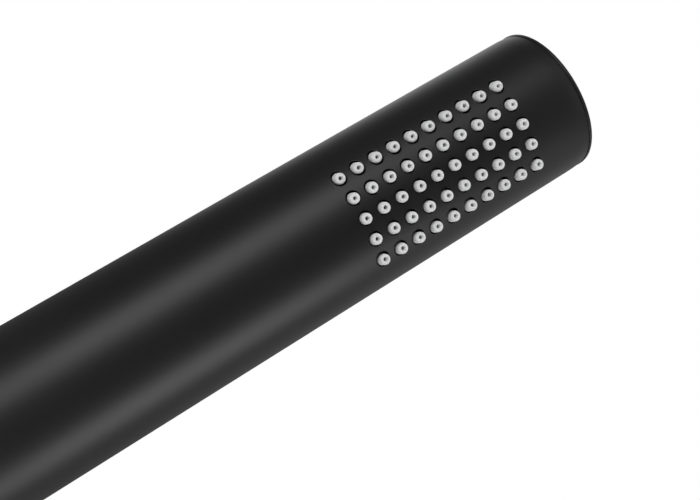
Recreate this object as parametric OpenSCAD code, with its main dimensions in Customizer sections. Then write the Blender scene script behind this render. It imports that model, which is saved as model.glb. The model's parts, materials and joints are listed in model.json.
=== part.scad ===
// Stick hand shower: a round tube with silicone nozzles and a screwed end cap.
// An inner water tube joins the spray carrier to the inlet.
// The inlet holds a strainer, a flow regulator and a check valve.
// Millimetres. +Z runs from the inlet to the end cap, and the nozzles face -Y.

/* [Handset] */
// Length from the inlet's end face to the top of the end cap
overall_l = 215; // [200:1:240]
// Outside diameter of the handle tube
tube_od = 28; // [27.6:0.1:31]
// Wall of the tube around the spray carrier and the inlet spigot
tube_wall = 1.5; // [1.4:0.05:1.7]
// Wall of the tube's mouth, around the end cap's O-ring
mouth_wall = 1; // [0.9:0.05:1.1]
// How much thicker the wall is between the two shoulders
shoulder = 0.7; // [0.6:0.05:1]
// Gap at each end of the tube
seam = 0.1; // [0.1:0.05:0.4]
// How far the ends of the tube ease inwards
ease_depth = 0.15; // [0.1:0.05:0.4]
// Length over which the ends of the tube ease inwards
ease_l = 3; // [1:0.1:4]

/* [Spray field] */
// Rows of nozzles, side by side across the tube
rows = 5; // [3:1:5]
// Nozzles in each row
columns = 10; // [6:1:12]
// Distance between nozzles along the tube
pitch = 3.75; // [3.5:0.05:4]
// Distance between rows, straight across the tube
row_pitch = 3.9; // [3.6:0.05:4.1]
// Distance from the top of the end cap to the nearest nozzles
setback = 13.3; // [13:0.1:18]
// Diameter of a nozzle's head
nozzle_d = 2.1; // [2:0.05:2.4]
// Diameter of a nozzle's neck
neck_d = 1.9; // [1.8:0.02:2]
// How far the nozzles stand out of the tube
nozzle_h = 1; // [0.9:0.1:2]
// Rounding of a nozzle's tip
tip_r = 0.45; // [0.2:0.05:0.5]
// Diameter of the jet outlet in a nozzle
outlet_d = 0.6; // [0.4:0.05:0.7]
// Diameter of the water feed behind a nozzle
feed_d = 1.5; // [1.2:0.1:1.7]
// Diameter of the drilled holes in the tube
hole_d = 2.8; // [2.8:0.05:3.1]
// Thickness of the nozzle mat
mat_t = 1.3; // [1:0.1:1.5]
// Width of mat around the outer nozzles
mat_margin = 2.6; // [2.2:0.1:2.8]
// Wall between the spray chamber and the mat
carrier_wall = 2.5; // [2:0.1:2.8]

/* [End cap] */
// Height of the cap's visible lip
lip_h = 0.65; // [0.65:0.05:1.2]
// How far the lip's side lies inside the tube's face
lip_inset = 0.05; // [0:0.05:0.3]
// Rounding of the lip's edge
lip_round = 0.35; // [0.2:0.05:0.45]
// Thickness of the cap's top plate
cap_plate = 3.2; // [3:0.1:3.8]
// Length of the cap's thread
cap_thread_l = 3; // [2.5:0.1:3.3]
// Pitch of the cap's thread
cap_pitch = 1; // [0.8:0.1:1.2]
// Across the flats of the key socket
key_af = 6; // [5:0.5:8]
// Depth of the key socket
key_depth = 2.2; // [1.5:0.1:2.4]

/* [Inlet] */
// Length of the inlet thread
thread_l = 12; // [11:0.5:14]
// Height of the collar above the thread
collar_h = 3; // [2.5:0.1:6]
// Rounding of the collar's lower edge
collar_round = 1.2; // [0.8:0.1:1.6]
// How far the inlet's spigot reaches into the tube
spigot_l = 16; // [14:0.5:18]
// Diameter of the bore for the regulator and the check valve
cartridge_d = 15; // [14.8:0.05:15.4]
// Height of the strainer
filter_h = 2.4; // [2.2:0.1:3]
// How deep the strainer sits in the inlet
filter_recess = 0.6; // [0.3:0.1:1]
// Height of the flow regulator
regulator_h = 5.5; // [5.3:0.1:6.5]
// Height of the check valve's housing
valve_h = 16; // [15:0.5:18]
// How far the check valve opens
valve_lift = 2.2; // [1.5:0.1:2.5]
// Diameter of the check valve's port
port_d = 6.6; // [6:0.1:6.8]
// Diameter of the poppet's stem
stem_d = 2.4; // [2:0.1:2.6]
// Turns in the check valve's spring
spring_turns = 5.5; // [4.5:0.5:6.5]
// Diameter of the spring's wire
wire_d = 0.45; // [0.35:0.05:0.5]

/* [Water tube] */
// Outside diameter of the water tube
water_od = 14; // [13.6:0.1:15]
// Wall of the water tube
water_wall = 1.75; // [1.7:0.05:2]
// Wall of the sockets that hold the water tube
socket_wall = 2.2; // [1.8:0.1:2.4]
// Depth of the sockets that hold the water tube
socket_depth = 11; // [9:0.5:13]

/* [Fits] */
// Section of the O-rings
seal_d = 1; // [0.9:0.05:1.1]
// Gap between an O-ring and what it seals
seal_gap = 0.03; // [0.02:0.01:0.05]
// Radial gap of the parts that slide into the tube and the inlet
slide_gap = 0.1; // [0.06:0.01:0.15]
// Radial gap of the end cap in the tube
thread_gap = 0.06; // [0.04:0.01:0.09]
// Radial gap of the stem in its guide
stem_gap = 0.06; // [0.03:0.01:0.09]
// Gap around trapped and moulded-in parts
seat_gap = 0.02; // [0.02:0.01:0.04]

/* [Hidden] */
$fn = 64;

// A cut runs this far past the face it opens
over = 0.5;
// Direction in which the middle row of nozzles faces
face_angle = -90;

// G 1/2 pipe thread
g_major_r = 20.955 / 2;
g_minor_r = 18.631 / 2;
g_pitch = 1.814;
g_lead = 1;
g_relief = 1.6;
g_crest = 0.3;
g_flank = 0.25;

// Seals
seal_r = seal_d / 2;
seal_w = 1.3 * seal_d;
seal_land = 0.65;
rim_land = 0.85;

// Fine threads: half widths of a groove at its mouth and root, as shares of the pitch
groove_mouth = 0.4;
groove_root = 0.1;

// Handle tube
tube_r = tube_od / 2;
bore_r = tube_r - tube_wall;
mid_r = bore_r - shoulder;
mouth_r = tube_r - mouth_wall;
tube_z0 = thread_l + collar_h + seam;
tube_z1 = overall_l - lip_h - seam;
mouth_h = seal_w + 2 * seal_land;
mouth_z = tube_z1 - mouth_h;
spigot_z = tube_z0 + spigot_l;

// End cap
cap_thread_r = (bore_r + mouth_r) / 2;
cap_z0 = mouth_z - cap_thread_l;
cap_wall = 2.3;
cap_groove = 0.4;
cap_shoulder_gap = 0.1;
lip_chamfer = 0.1;

// Spray field
last_z = overall_l - setback;
first_z = last_z - (columns - 1) * pitch;
row_mid = (rows - 1) / 2;
mat_r1 = bore_r - seat_gap;
mat_r0 = mat_r1 - mat_t;
mat_z0 = first_z - mat_margin;
mat_z1 = last_z + mat_margin;
mat_half = asin(row_mid * row_pitch / mat_r0) + mat_margin / bore_r * 180 / PI;
pocket_side = 0.5;
pocket_r = mat_r0 - seat_gap;
neck_h = 0.2;
outlet_l = 0.8;

// Spray carrier and its adapter
chamber_r = pocket_r - carrier_wall;
chamber_roof = 2;
pocket_wall = 1.65;
front_seal_z = cap_z0 - rim_land - seal_w / 2;
rear_seal_z = mat_z0 - pocket_wall - seal_w / 2;
carrier_z0 = rear_seal_z - seal_w / 2 - rim_land;
flange_h = 2.5;
shoulder_z = carrier_z0 - flange_h;
adapter_spigot_l = 5.5;
lug_w = 3;
lug_h = 1.8;
lug_t = 1.2;
lug_gap = 0.2;

// Inlet
cartridge_r = cartridge_d / 2;
filter_step = 0.5;
filter_r = cartridge_r + filter_step;
filter_z1 = filter_recess + filter_h;
regulator_z1 = filter_z1 + regulator_h;
valve_z1 = regulator_z1 + valve_h;
throat_l = 4;
socket_z = valve_z1 + throat_l;
inlet_seal_z = tube_z0 + rim_land + seal_w / 2;
inlet_pitch = 1;
inlet_groove = 0.45;

// Water tube
water_r = water_od / 2;
water_bore_r = water_r - water_wall;
socket_r = water_r + slide_gap / 2;
water_z1 = shoulder_z - seat_gap;
sleeve_r = socket_r + socket_wall;
socket_seal = socket_depth / 2;

// Strainer
filter_rim = 1.3;
mesh_t = 0.3;
filter_lip = 1;
mesh_z = filter_recess + filter_lip;
mesh_grip = 0.6;
mesh_hole = 0.7;
mesh_step = 1.1;
rib_w = 0.9;

// Flow regulator
cap_disc_t = 0.8;
regulator_wall = 2;
channel_r = cartridge_r - regulator_wall;
post_r = 2.9;
notch_r = 0.45;
notch_turn = 22.5;
floor_t = 1.2;
notch_z = regulator_z1 - floor_t / 2;
ring_section_r = 0.95;
floor_hole_r = 0.75;
vent_r = 0.65;
vent_ring = 4.3;
vent_inner = 1.9;
regulator_seal_z = filter_z1 + regulator_h / 2;

// Check valve
seat_t = 2.5;
seat_z = regulator_z1 + seat_t;
port_r = port_d / 2;
port_gap = 0.1;
poppet_seal_w = 1;
poppet_seal_in = port_r + port_gap;
poppet_seal_t = 0.9;
poppet_seal_out = poppet_seal_in + poppet_seal_w;
seal_proud = 0.3;
head_t = 1.5;
head_rim = 0.3;
head_r = poppet_seal_out + head_rim;
nose_l = 1;
nose_gap = 0.3;
stem_r = stem_d / 2;
housing_wall = 2.1;
valve_bore_r = cartridge_r - slide_gap - housing_wall;
retainer_step = 0.25;
retainer_r = valve_bore_r + retainer_step;
retainer_h = 3.5;
retainer_z = valve_z1 - retainer_h;
plate_t = 0.8;
plate_r = 3.2;
hub_r = 2.2;
arm_w = 1.4;
arm_start = 1.7;
arm_turns = [90, 210, 330];
rim_t = 0.9;
head_z = seat_z + seal_proud;
spring_z0 = head_z + head_t;
spring_r = 2.4;
flat_turns = 0.75;
spring_steps = 20;
spring_sides = 8;
stem_short = 0.6;
stem_z1 = valve_z1 - stem_short;
stem_tip = 0.4;
stop_step = 0.5;
stop_r = stem_r + stop_step;
stop_z = retainer_z - valve_lift - seat_gap;
valve_seal_drop = 5;
valve_seal_z = valve_z1 - valve_seal_drop;

// ---- shared shapes

// Points of an arc about [x, y], from angle a0 to a1
function arc(x, y, r, a0, a1, steps = 6) =
    [for (i = [0:steps]) let (a = a0 + (a1 - a0) * i / steps) [x + r * cos(a), y + r * sin(a)]];

// Centre radius of an O-ring that seals against a bore
function seal_mid(bore) = bore - seal_gap - seal_r;

// Floor radius of the groove that holds it
function groove_floor(bore) = seal_mid(bore) - seal_r - seal_gap;

module ring(r_out, r_in, z0, z1) {
    translate([0, 0, z0])
        difference() {
            cylinder(r = r_out, h = z1 - z0);
            translate([0, 0, -over]) cylinder(r = r_in, h = z1 - z0 + 2 * over);
        }
}

// A cylinder on the tube's axis between two heights
module drum(r, z0, z1) {
    translate([0, 0, z0]) cylinder(r = r, h = z1 - z0);
}

// An O-ring that seals against a bore of the given radius
module oring(bore_radius, z) {
    translate([0, 0, z])
        rotate_extrude()
            translate([seal_mid(bore_radius), 0]) circle(r = seal_r);
}

// The groove for that O-ring, cut into a plug
module seal_groove(bore_radius, z) {
    ring(bore_radius + over, groove_floor(bore_radius), z - seal_w / 2, z + seal_w / 2);
}

// Ring grooves that show the turns of a fine thread on a plug
module thread_grooves(r, depth, step, z0, z1) {
    for (i = [0:floor((z1 - z0) / step) - 1])
        translate([0, 0, z0 + (i + 0.5) * step])
            rotate_extrude()
                polygon([[r + over, -step / 2], [r, -step * groove_mouth], [r - depth, -step * groove_root],
                         [r - depth, step * groove_root], [r, step * groove_mouth], [r + over, step / 2]]);
}

function row_x(row) = (row - row_mid) * row_pitch;

// How far a round face stands in front of the tube's axis at a row
function row_face(row, r) = sqrt(r * r - row_x(row) * row_x(row));

// Children are drawn with +Z along the axis of each nozzle in a row. All nozzles point the same way
module along_row(row) {
    for (column = [0:columns - 1])
        translate([row_x(row), 0, first_z + column * pitch])
            rotate([90, 0, 0]) children();
}

// A sector of a ring, centred on the direction in which the nozzles face
module sector(r_out, r_in, half_angle, z0, z1) {
    rotate([0, 0, face_angle - half_angle])
        translate([0, 0, z0])
            rotate_extrude(angle = 2 * half_angle)
                translate([r_in, 0]) square([r_out - r_in, z1 - z0]);
}

// A small key opposite the nozzles
module back_key(w, y0, y1, z0, z1) {
    translate([-w / 2, y0, z0]) cube([w, y1 - y0, z1 - z0]);
}

// ---- handle tube

function ease_curve(steps = 6) =
    [for (i = [0:steps]) let (t = i / steps) [tube_r - ease_depth * t * t, ease_l * t]];

module tube_outline() {
    up = ease_curve();
    top = [for (p = up) [p[0], tube_z1 - ease_l + p[1]]];
    bottom = [for (i = [len(up) - 1:-1:0]) [up[i][0], tube_z0 + ease_l - up[i][1]]];
    polygon(concat([[0, tube_z0]], bottom, top, [[0, tube_z1]]));
}

module handle_tube() {
    color([0.1, 0.1, 0.1])
        difference() {
            rotate_extrude() tube_outline();
            drum(mid_r, tube_z0 - over, tube_z1);
            drum(bore_r, tube_z0 - over, spigot_z);
            drum(bore_r, shoulder_z, tube_z1);
            drum(cap_thread_r, cap_z0, tube_z1);
            drum(mouth_r, mouth_z, tube_z1 + over);
            back_key(lug_w + 2 * lug_gap, 0, bore_r - lug_gap / 2,
                     shoulder_z - lug_h - lug_gap, shoulder_z + over);
            for (row = [0:rows - 1])
                along_row(row) drum(hole_d / 2, 0, tube_r + over);
        }
}

// ---- end cap

module cap_outline() {
    plug_r = mouth_r - thread_gap;
    thread_r = cap_thread_r - thread_gap;
    lip_r = tube_r - lip_inset;
    lip_z = overall_l - lip_h;
    polygon(concat(
        [[0, cap_z0], [thread_r - cap_groove, cap_z0], [thread_r, cap_z0 + cap_groove],
         [thread_r, mouth_z + cap_shoulder_gap], [plug_r, mouth_z + cap_shoulder_gap],
         [plug_r, lip_z], [lip_r - lip_chamfer, lip_z], [lip_r, lip_z + lip_chamfer]],
        arc(lip_r - lip_round, overall_l - lip_round, lip_round, 0, 90),
        [[0, overall_l]]));
}

module end_cap() {
    color([0.12, 0.12, 0.12])
        difference() {
            rotate_extrude() cap_outline();
            drum(cap_thread_r - cap_wall, cap_z0 - over, overall_l - cap_plate);
            seal_groove(mouth_r, mouth_z + mouth_h / 2);
            thread_grooves(cap_thread_r - thread_gap, cap_groove, cap_pitch, cap_z0 + cap_groove, mouth_z);
            translate([0, 0, overall_l - key_depth])
                cylinder(d = key_af / cos(30), h = key_depth + over, $fn = 6);
        }
}

module end_cap_oring() {
    color([0.15, 0.15, 0.16]) oring(mouth_r, mouth_z + mouth_h / 2);
}

// ---- nozzle mat

module nozzle_stem(face) {
    tip = face + nozzle_h;
    rotate_extrude()
        polygon(concat(
            [[0, 0], [nozzle_d / 2, 0], [nozzle_d / 2, face - neck_h], [neck_d / 2, face],
             [neck_d / 2, face + neck_h], [nozzle_d / 2, face + 2 * neck_h]],
            arc(nozzle_d / 2 - tip_r, tip - tip_r, tip_r, 0, 90),
            [[0, tip]]));
}

module nozzle_bore(feed_end, tip) {
    rotate_extrude()
        polygon([[0, 0], [feed_d / 2, 0], [feed_d / 2, feed_end],
                 [outlet_d / 2, tip - outlet_l], [outlet_d / 2, tip + over], [0, tip + over]]);
}

module nozzle_mat() {
    color([0.8, 0.81, 0.82])
        difference() {
            union() {
                sector(mat_r1, mat_r0, mat_half, mat_z0, mat_z1);
                difference() {
                    for (row = [0:rows - 1])
                        along_row(row) nozzle_stem(row_face(row, tube_r));
                    drum(mat_r0 + mat_t / 2, mat_z0, mat_z1);
                }
            }
            for (row = [0:rows - 1])
                along_row(row) nozzle_bore(row_face(row, mat_r1), row_face(row, tube_r) + nozzle_h);
        }
}

// ---- spray carrier

module spray_carrier() {
    color([0.75, 0.76, 0.78])
        difference() {
            drum(bore_r - slide_gap, carrier_z0, cap_z0);
            drum(chamber_r, carrier_z0 - over, cap_z0 - chamber_roof);
            sector(bore_r + over, pocket_r, mat_half + pocket_side, mat_z0 - seat_gap, mat_z1 + seat_gap);
            seal_groove(bore_r, front_seal_z);
            seal_groove(bore_r, rear_seal_z);
            back_key(lug_w + lug_gap, 0, chamber_r + lug_t + lug_gap,
                     carrier_z0 - over, carrier_z0 + lug_t + lug_gap);
            for (row = [0:rows - 1])
                along_row(row) drum(feed_d / 2, 0, pocket_r + over);
        }
}

module carrier_front_oring() {
    color([0.15, 0.15, 0.16]) oring(bore_r, front_seal_z);
}

module carrier_rear_oring() {
    color([0.15, 0.15, 0.16]) oring(bore_r, rear_seal_z);
}

// ---- carrier adapter

module carrier_adapter() {
    spigot_r = chamber_r - slide_gap;
    color([0.7, 0.71, 0.73])
        difference() {
            union() {
                drum(sleeve_r, shoulder_z - socket_depth, shoulder_z + flange_h / 2);
                drum(bore_r - slide_gap, shoulder_z, carrier_z0);
                drum(spigot_r, shoulder_z + flange_h / 2, carrier_z0 + adapter_spigot_l);
                back_key(lug_w, mid_r - lug_t, bore_r - lug_gap,
                         shoulder_z - lug_h, shoulder_z + flange_h / 2);
                back_key(lug_w - lug_gap, spigot_r - lug_t, chamber_r + lug_t,
                         carrier_z0 - lug_t, carrier_z0 + lug_t);
            }
            drum(socket_r, shoulder_z - socket_depth - over, shoulder_z);
            drum(water_bore_r, shoulder_z - over, carrier_z0 + adapter_spigot_l + over);
            seal_groove(chamber_r, carrier_z0 + adapter_spigot_l - rim_land - seal_w / 2);
        }
}

module adapter_oring() {
    color([0.15, 0.15, 0.16]) oring(chamber_r, carrier_z0 + adapter_spigot_l - rim_land - seal_w / 2);
}

// ---- water tube

module water_tube() {
    color([0.85, 0.86, 0.88])
        difference() {
            ring(water_r, water_bore_r, socket_z, water_z1);
            seal_groove(socket_r, socket_z + socket_seal);
            seal_groove(socket_r, shoulder_z - socket_seal);
        }
}

module water_tube_top_oring() {
    color([0.15, 0.15, 0.16]) oring(socket_r, shoulder_z - socket_seal);
}

module water_tube_bottom_oring() {
    color([0.15, 0.15, 0.16]) oring(socket_r, socket_z + socket_seal);
}

// ---- inlet fitting

// One turn of the pipe thread's outline, from a crest down to the root and back
function thread_turn(z) =
    [[g_major_r, z + g_crest * g_pitch], [g_minor_r, z + (g_crest + g_flank) * g_pitch],
     [g_minor_r, z + (1 - g_flank) * g_pitch], [g_major_r, z + g_pitch]];

module inlet_outline() {
    spigot_r = bore_r - slide_gap;
    turns = floor((thread_l - g_lead - g_relief) / g_pitch);
    crests = [for (i = [0:turns - 1]) for (p = thread_turn(g_lead + i * g_pitch)) p];
    end_crest = g_lead + (turns + g_crest) * g_pitch;
    polygon(concat(
        [[0, 0], [g_minor_r, 0], [g_major_r, g_lead]],
        crests,
        [[g_major_r, end_crest], [g_minor_r, min(end_crest + g_flank * g_pitch, thread_l)],
         [g_minor_r, thread_l]],
        arc(tube_r - collar_round, thread_l + collar_round, collar_round, -90, 0),
        [[tube_r, thread_l + collar_h - ease_depth], [tube_r - ease_depth, thread_l + collar_h],
         [spigot_r, thread_l + collar_h], [spigot_r, spigot_z],
         [sleeve_r, spigot_z], [sleeve_r, socket_z + socket_depth], [0, socket_z + socket_depth]]));
}

module inlet_fitting() {
    color([0.13, 0.13, 0.13])
        difference() {
            rotate_extrude() inlet_outline();
            drum(filter_r, -over, filter_z1);
            drum(cartridge_r, 0, valve_z1);
            drum(water_bore_r, valve_z1 - over, socket_z + over);
            drum(socket_r, socket_z, socket_z + socket_depth + over);
            seal_groove(bore_r, inlet_seal_z);
            thread_grooves(bore_r - slide_gap, inlet_groove, inlet_pitch, inlet_seal_z + seal_w, spigot_z);
        }
}

module inlet_fitting_oring() {
    color([0.15, 0.15, 0.16]) oring(bore_r, inlet_seal_z);
}

// ---- strainer

module filter_frame() {
    grip_r = filter_r - filter_rim + mesh_grip + seat_gap;
    rib_half = filter_r - seat_gap - filter_rim / 2;
    rib_z = mesh_z + mesh_t + seat_gap;
    color([0.9, 0.9, 0.88])
        difference() {
            union() {
                ring(filter_r - slide_gap, filter_r - filter_rim, filter_recess, filter_z1);
                for (turn = [0, 90])
                    rotate([0, 0, turn])
                        translate([-rib_half, -rib_w / 2, rib_z])
                            cube([2 * rib_half, rib_w, filter_z1 - rib_z]);
            }
            drum(grip_r, mesh_z - seat_gap, rib_z);
        }
}

module filter_mesh() {
    mesh_r = filter_r - filter_rim + mesh_grip;
    open_r = filter_r - filter_rim - mesh_hole;
    half = floor(open_r / mesh_step);
    color([0.6, 0.6, 0.62])
        difference() {
            drum(mesh_r, mesh_z, mesh_z + mesh_t);
            for (i = [-half:half])
                for (j = [-half:half])
                    if (norm([i, j]) * mesh_step < open_r)
                        translate([i * mesh_step, j * mesh_step, mesh_z - over])
                            translate([-mesh_hole / 2, -mesh_hole / 2, 0])
                                cube([mesh_hole, mesh_hole, mesh_t + 2 * over]);
        }
}

// ---- flow regulator

module regulator_body() {
    color([0.2, 0.45, 0.3])
        difference() {
            drum(cartridge_r - slide_gap, filter_z1, regulator_z1);
            drum(channel_r + cap_disc_t, filter_z1 - over, filter_z1 + cap_disc_t);
            difference() {
                drum(channel_r, filter_z1, regulator_z1 - floor_t);
                drum(post_r, filter_z1 + 2 * cap_disc_t, regulator_z1);
            }
            for (turn = [0:45:315]) {
                rotate([0, 0, turn + notch_turn])
                    translate([post_r, 0, 0]) drum(notch_r, filter_z1, notch_z);
                rotate([0, 0, turn])
                    translate([(post_r + channel_r) / 2, 0, 0])
                        drum(floor_hole_r, filter_z1 + floor_t, regulator_z1 + over);
            }
            seal_groove(cartridge_r, regulator_seal_z);
        }
}

module regulator_cap() {
    color([0.9, 0.9, 0.88])
        difference() {
            drum(channel_r + cap_disc_t - seat_gap, filter_z1, filter_z1 + cap_disc_t);
            for (turn = [0:30:330])
                rotate([0, 0, turn])
                    translate([vent_ring, 0, 0]) drum(vent_r, filter_z1 - over, regulator_z1);
            for (turn = [0:60:300])
                rotate([0, 0, turn])
                    translate([vent_inner, 0, 0]) drum(vent_r, filter_z1 - over, regulator_z1);
        }
}

module regulator_ring() {
    color([0.15, 0.15, 0.16])
        translate([0, 0, regulator_z1 - floor_t - ring_section_r - seat_gap])
            rotate_extrude()
                translate([(post_r + channel_r) / 2, 0]) circle(r = ring_section_r);
}

module regulator_oring() {
    color([0.15, 0.15, 0.16]) oring(cartridge_r, regulator_seal_z);
}

// ---- check valve

module valve_housing() {
    color([0.85, 0.85, 0.83])
        difference() {
            drum(cartridge_r - slide_gap, regulator_z1, valve_z1);
            drum(port_r, regulator_z1 - over, seat_z + over);
            drum(valve_bore_r, seat_z, retainer_z);
            drum(retainer_r, retainer_z, valve_z1 + over);
            seal_groove(cartridge_r, valve_seal_z);
        }
}

module valve_oring() {
    color([0.15, 0.15, 0.16]) oring(cartridge_r, valve_seal_z);
}

module valve_poppet() {
    nose_r = port_r - nose_gap;
    groove_in = poppet_seal_in - seat_gap;
    groove_out = poppet_seal_out + seat_gap;
    groove_z = seat_z + poppet_seal_t;
    color([0.25, 0.4, 0.65])
        rotate_extrude()
            polygon([[0, seat_z - nose_l], [nose_r - nose_l / 2, seat_z - nose_l],
                     [nose_r, seat_z - nose_l / 2], [nose_r, head_z], [groove_in, head_z],
                     [groove_in, groove_z], [groove_out, groove_z], [groove_out, head_z],
                     [head_r, head_z], [head_r, spring_z0], [stop_r, spring_z0], [stop_r, stop_z],
                     [stem_r, stop_z], [stem_r, stem_z1 - stem_tip], [stem_r - stem_tip, stem_z1],
                     [0, stem_z1]]);
}

module valve_poppet_seal() {
    color([0.15, 0.15, 0.16]) ring(poppet_seal_out, poppet_seal_in, seat_z, seat_z + poppet_seal_t);
}

// Share of the spring's height at a share of its length, with a flat part turn at each end
function spring_rise(t) =
    min(max((t - flat_turns / spring_turns) / (1 - 2 * flat_turns / spring_turns), 0), 1);

module valve_spring() {
    steps = round(spring_turns * spring_steps);
    sides = spring_sides;
    wire_r = wire_d / 2;
    low = spring_z0 + wire_r + seat_gap;
    high = retainer_z - wire_r - seat_gap;
    rings = [for (i = [0:steps]) for (k = [0:sides - 1])
        let (a = 360 * spring_turns * i / steps, b = 360 * k / sides, r = spring_r + wire_r * cos(b))
        [r * cos(a), r * sin(a), low + (high - low) * spring_rise(i / steps) + wire_r * sin(b)]];
    skin = [for (i = [0:steps - 1]) for (k = [0:sides - 1])
        let (n = (k + 1) % sides)
        [i * sides + k, (i + 1) * sides + k, (i + 1) * sides + n, i * sides + n]];
    ends = [[for (k = [0:sides - 1]) k], [for (k = [sides - 1:-1:0]) steps * sides + k]];
    color([0.7, 0.7, 0.72]) polyhedron(points = rings, faces = concat(skin, ends), convexity = 8);
}

module valve_retainer() {
    color([0.9, 0.9, 0.88])
        difference() {
            union() {
                ring(retainer_r - seat_gap, retainer_r - rim_t, retainer_z, valve_z1);
                drum(plate_r, retainer_z, retainer_z + plate_t);
                drum(hub_r, retainer_z, valve_z1);
                for (turn = arm_turns)
                    rotate([0, 0, turn])
                        translate([arm_start, -arm_w / 2, retainer_z])
                            cube([retainer_r - rim_t / 2 - arm_start, arm_w, retainer_h / 2]);
            }
            drum(stem_r + stem_gap, retainer_z - over, valve_z1 + over);
        }
}

handle_tube();
end_cap();
end_cap_oring();
nozzle_mat();
spray_carrier();
carrier_front_oring();
carrier_rear_oring();
carrier_adapter();
adapter_oring();
water_tube();
water_tube_top_oring();
water_tube_bottom_oring();
inlet_fitting();
inlet_fitting_oring();
filter_frame();
filter_mesh();
regulator_body();
regulator_cap();
regulator_ring();
regulator_oring();
valve_housing();
valve_oring();
valve_poppet();
valve_poppet_seal();
valve_spring();
valve_retainer();
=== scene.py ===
import json
import math
import random

import bmesh
import bpy
from bpy.props import FloatProperty, FloatVectorProperty, IntProperty, PointerProperty
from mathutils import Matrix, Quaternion, Vector


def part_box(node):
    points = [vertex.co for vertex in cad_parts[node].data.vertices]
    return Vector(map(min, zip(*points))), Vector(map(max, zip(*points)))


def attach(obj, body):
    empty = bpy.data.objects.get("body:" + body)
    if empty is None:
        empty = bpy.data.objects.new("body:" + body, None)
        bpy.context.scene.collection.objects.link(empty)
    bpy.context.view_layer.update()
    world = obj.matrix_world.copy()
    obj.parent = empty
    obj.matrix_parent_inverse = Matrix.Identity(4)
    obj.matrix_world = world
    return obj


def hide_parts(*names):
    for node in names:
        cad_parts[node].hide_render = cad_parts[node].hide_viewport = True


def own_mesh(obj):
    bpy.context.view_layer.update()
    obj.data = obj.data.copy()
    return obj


bl_info = {
    "name": "Stick Hand Shower",
    "version": (1, 0, 0),
    "blender": (4, 5, 0),
    "location": "View3D > Sidebar > Hand Shower",
    "description": "Builds the pieces, finishes and studio of a stick hand shower around its packed model",
    "category": "Object",
}

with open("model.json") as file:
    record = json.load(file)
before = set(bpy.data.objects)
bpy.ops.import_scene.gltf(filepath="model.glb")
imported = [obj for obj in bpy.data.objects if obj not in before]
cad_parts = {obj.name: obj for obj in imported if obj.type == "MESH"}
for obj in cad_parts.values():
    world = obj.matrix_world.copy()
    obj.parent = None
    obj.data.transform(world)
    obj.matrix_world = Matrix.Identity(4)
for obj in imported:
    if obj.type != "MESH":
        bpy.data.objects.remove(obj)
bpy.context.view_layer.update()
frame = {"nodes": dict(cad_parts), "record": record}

TUBE_LOW, TUBE_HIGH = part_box("handle_tube")
CAP_LOW, CAP_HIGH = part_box("end_cap")
MAT_LOW, MAT_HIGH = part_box("nozzle_mat")
INLET_LOW, INLET_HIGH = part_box("inlet_fitting")
MESH_LOW, MESH_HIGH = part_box("filter_mesh")
SPRING_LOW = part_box("valve_spring")[0]
LIFT = next(joint for joint in frame["record"]["behaviour"]["joints"] if joint["name"] == "poppet_lift")

MM = 0.001
# Direction of the nozzles about the axis
FACING = -math.pi / 2

# Steps of the meshes: along a nozzle's patch of wall, round its hole, and round the tube
CELL_PARTS = 8
RIM_PARTS = 4 * CELL_PARTS
ROUND_PARTS = 192
# Points closer than WELD become one point, and edges sharper than CREASE look sharp
WELD = 4e-7
CREASE = math.radians(32)
# Broken edges of the machined rims, and the rounding of other corners
BREAK = 0.12 * MM
SOFT = 0.08 * MM

# The camera's place in metres, its turn and its focal length in millimetres
CAMERA_PLACE = (-0.0224302, -0.1846803, 0.1130347)
CAMERA_TURN = (0.5444752, 0.6656425, -0.4422285, 0.2546095)
CAMERA_LENS = 55.545

# Each lamp's azimuth in degrees, distance, height, the height it is turned to, width and length
LAMPS = {
    "left_strip": (-42, 0.75, 0.12, 0.12, 0.38, 0.72),
    "right_strip": (66, 0.75, 0.065, 0.065, 0.36, 0.67),
    "top_lamp": (-6, 0.3, 1.2, 0.14, 0.9, 0.6),
}
# Azimuth and rise in degrees of each bright side of the room, and the cosines where it starts and is full
GLOWS = {
    "side": (95, 38, 0.35, 1),
    "left_back": (-165, 40, 0.8, 1),
    "right_back": (140, 45, 0.6, 1),
    "below": (0, -90, 0.5, 0.9),
}


# ---- sizes and colours that a user may change


def size(name, description, millimetres):
    """A length property, given in millimetres and kept in metres."""
    return FloatProperty(
        name=name, description=description, default=millimetres * MM, min=0, unit="LENGTH", subtype="DISTANCE"
    )


def level(name, description, value):
    """A plain number that isn't negative."""
    return FloatProperty(name=name, description=description, default=value, min=0)


def shade(name, description, colour):
    """A colour property."""
    return FloatVectorProperty(
        name=name, description=description, default=colour, min=0, max=1, size=3, subtype="COLOR"
    )


class ShowerTubeSizes(bpy.types.PropertyGroup):
    """Sizes of the handle tube."""

    bore: size("Bore", "Radius of the tube's bore round the spray carrier and the inlet spigot", 12.5)
    waist: size("Waist bore", "Radius of the narrower bore between the shoulders", 11.8)
    thread_bore: size("Thread bore", "Radius of the bore round the end cap's thread", 12.75)
    mouth: size("Mouth", "Radius of the mouth round the end cap's seal", 13)
    mouth_z: size("Mouth floor", "Height of the step below the mouth", 211.65)
    thread_z: size("Thread bore floor", "Height of the step below the thread bore", 208.65)
    upper_shoulder: size("Upper shoulder", "Height of the shoulder that carries the adapter", 159.05)
    lower_shoulder: size("Lower shoulder", "Height of the shoulder above the inlet spigot", 31.1)
    ease_depth: size("Ease depth", "How far the tube's ends ease inwards", 0.15)
    ease_length: size("Ease length", "Length over which the ends ease inwards", 3)
    slot_depth: size("Key slot depth", "How far the adapter's key slot cuts into the waist", 0.6)
    slot_height: size("Key slot height", "Height of the adapter's key slot", 2)
    hole: size("Nozzle hole", "Radius of the drilled nozzle holes", 1.3)
    hole_edge: size("Hole edge", "Rounding of the holes' coated edge", 0.1)


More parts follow.
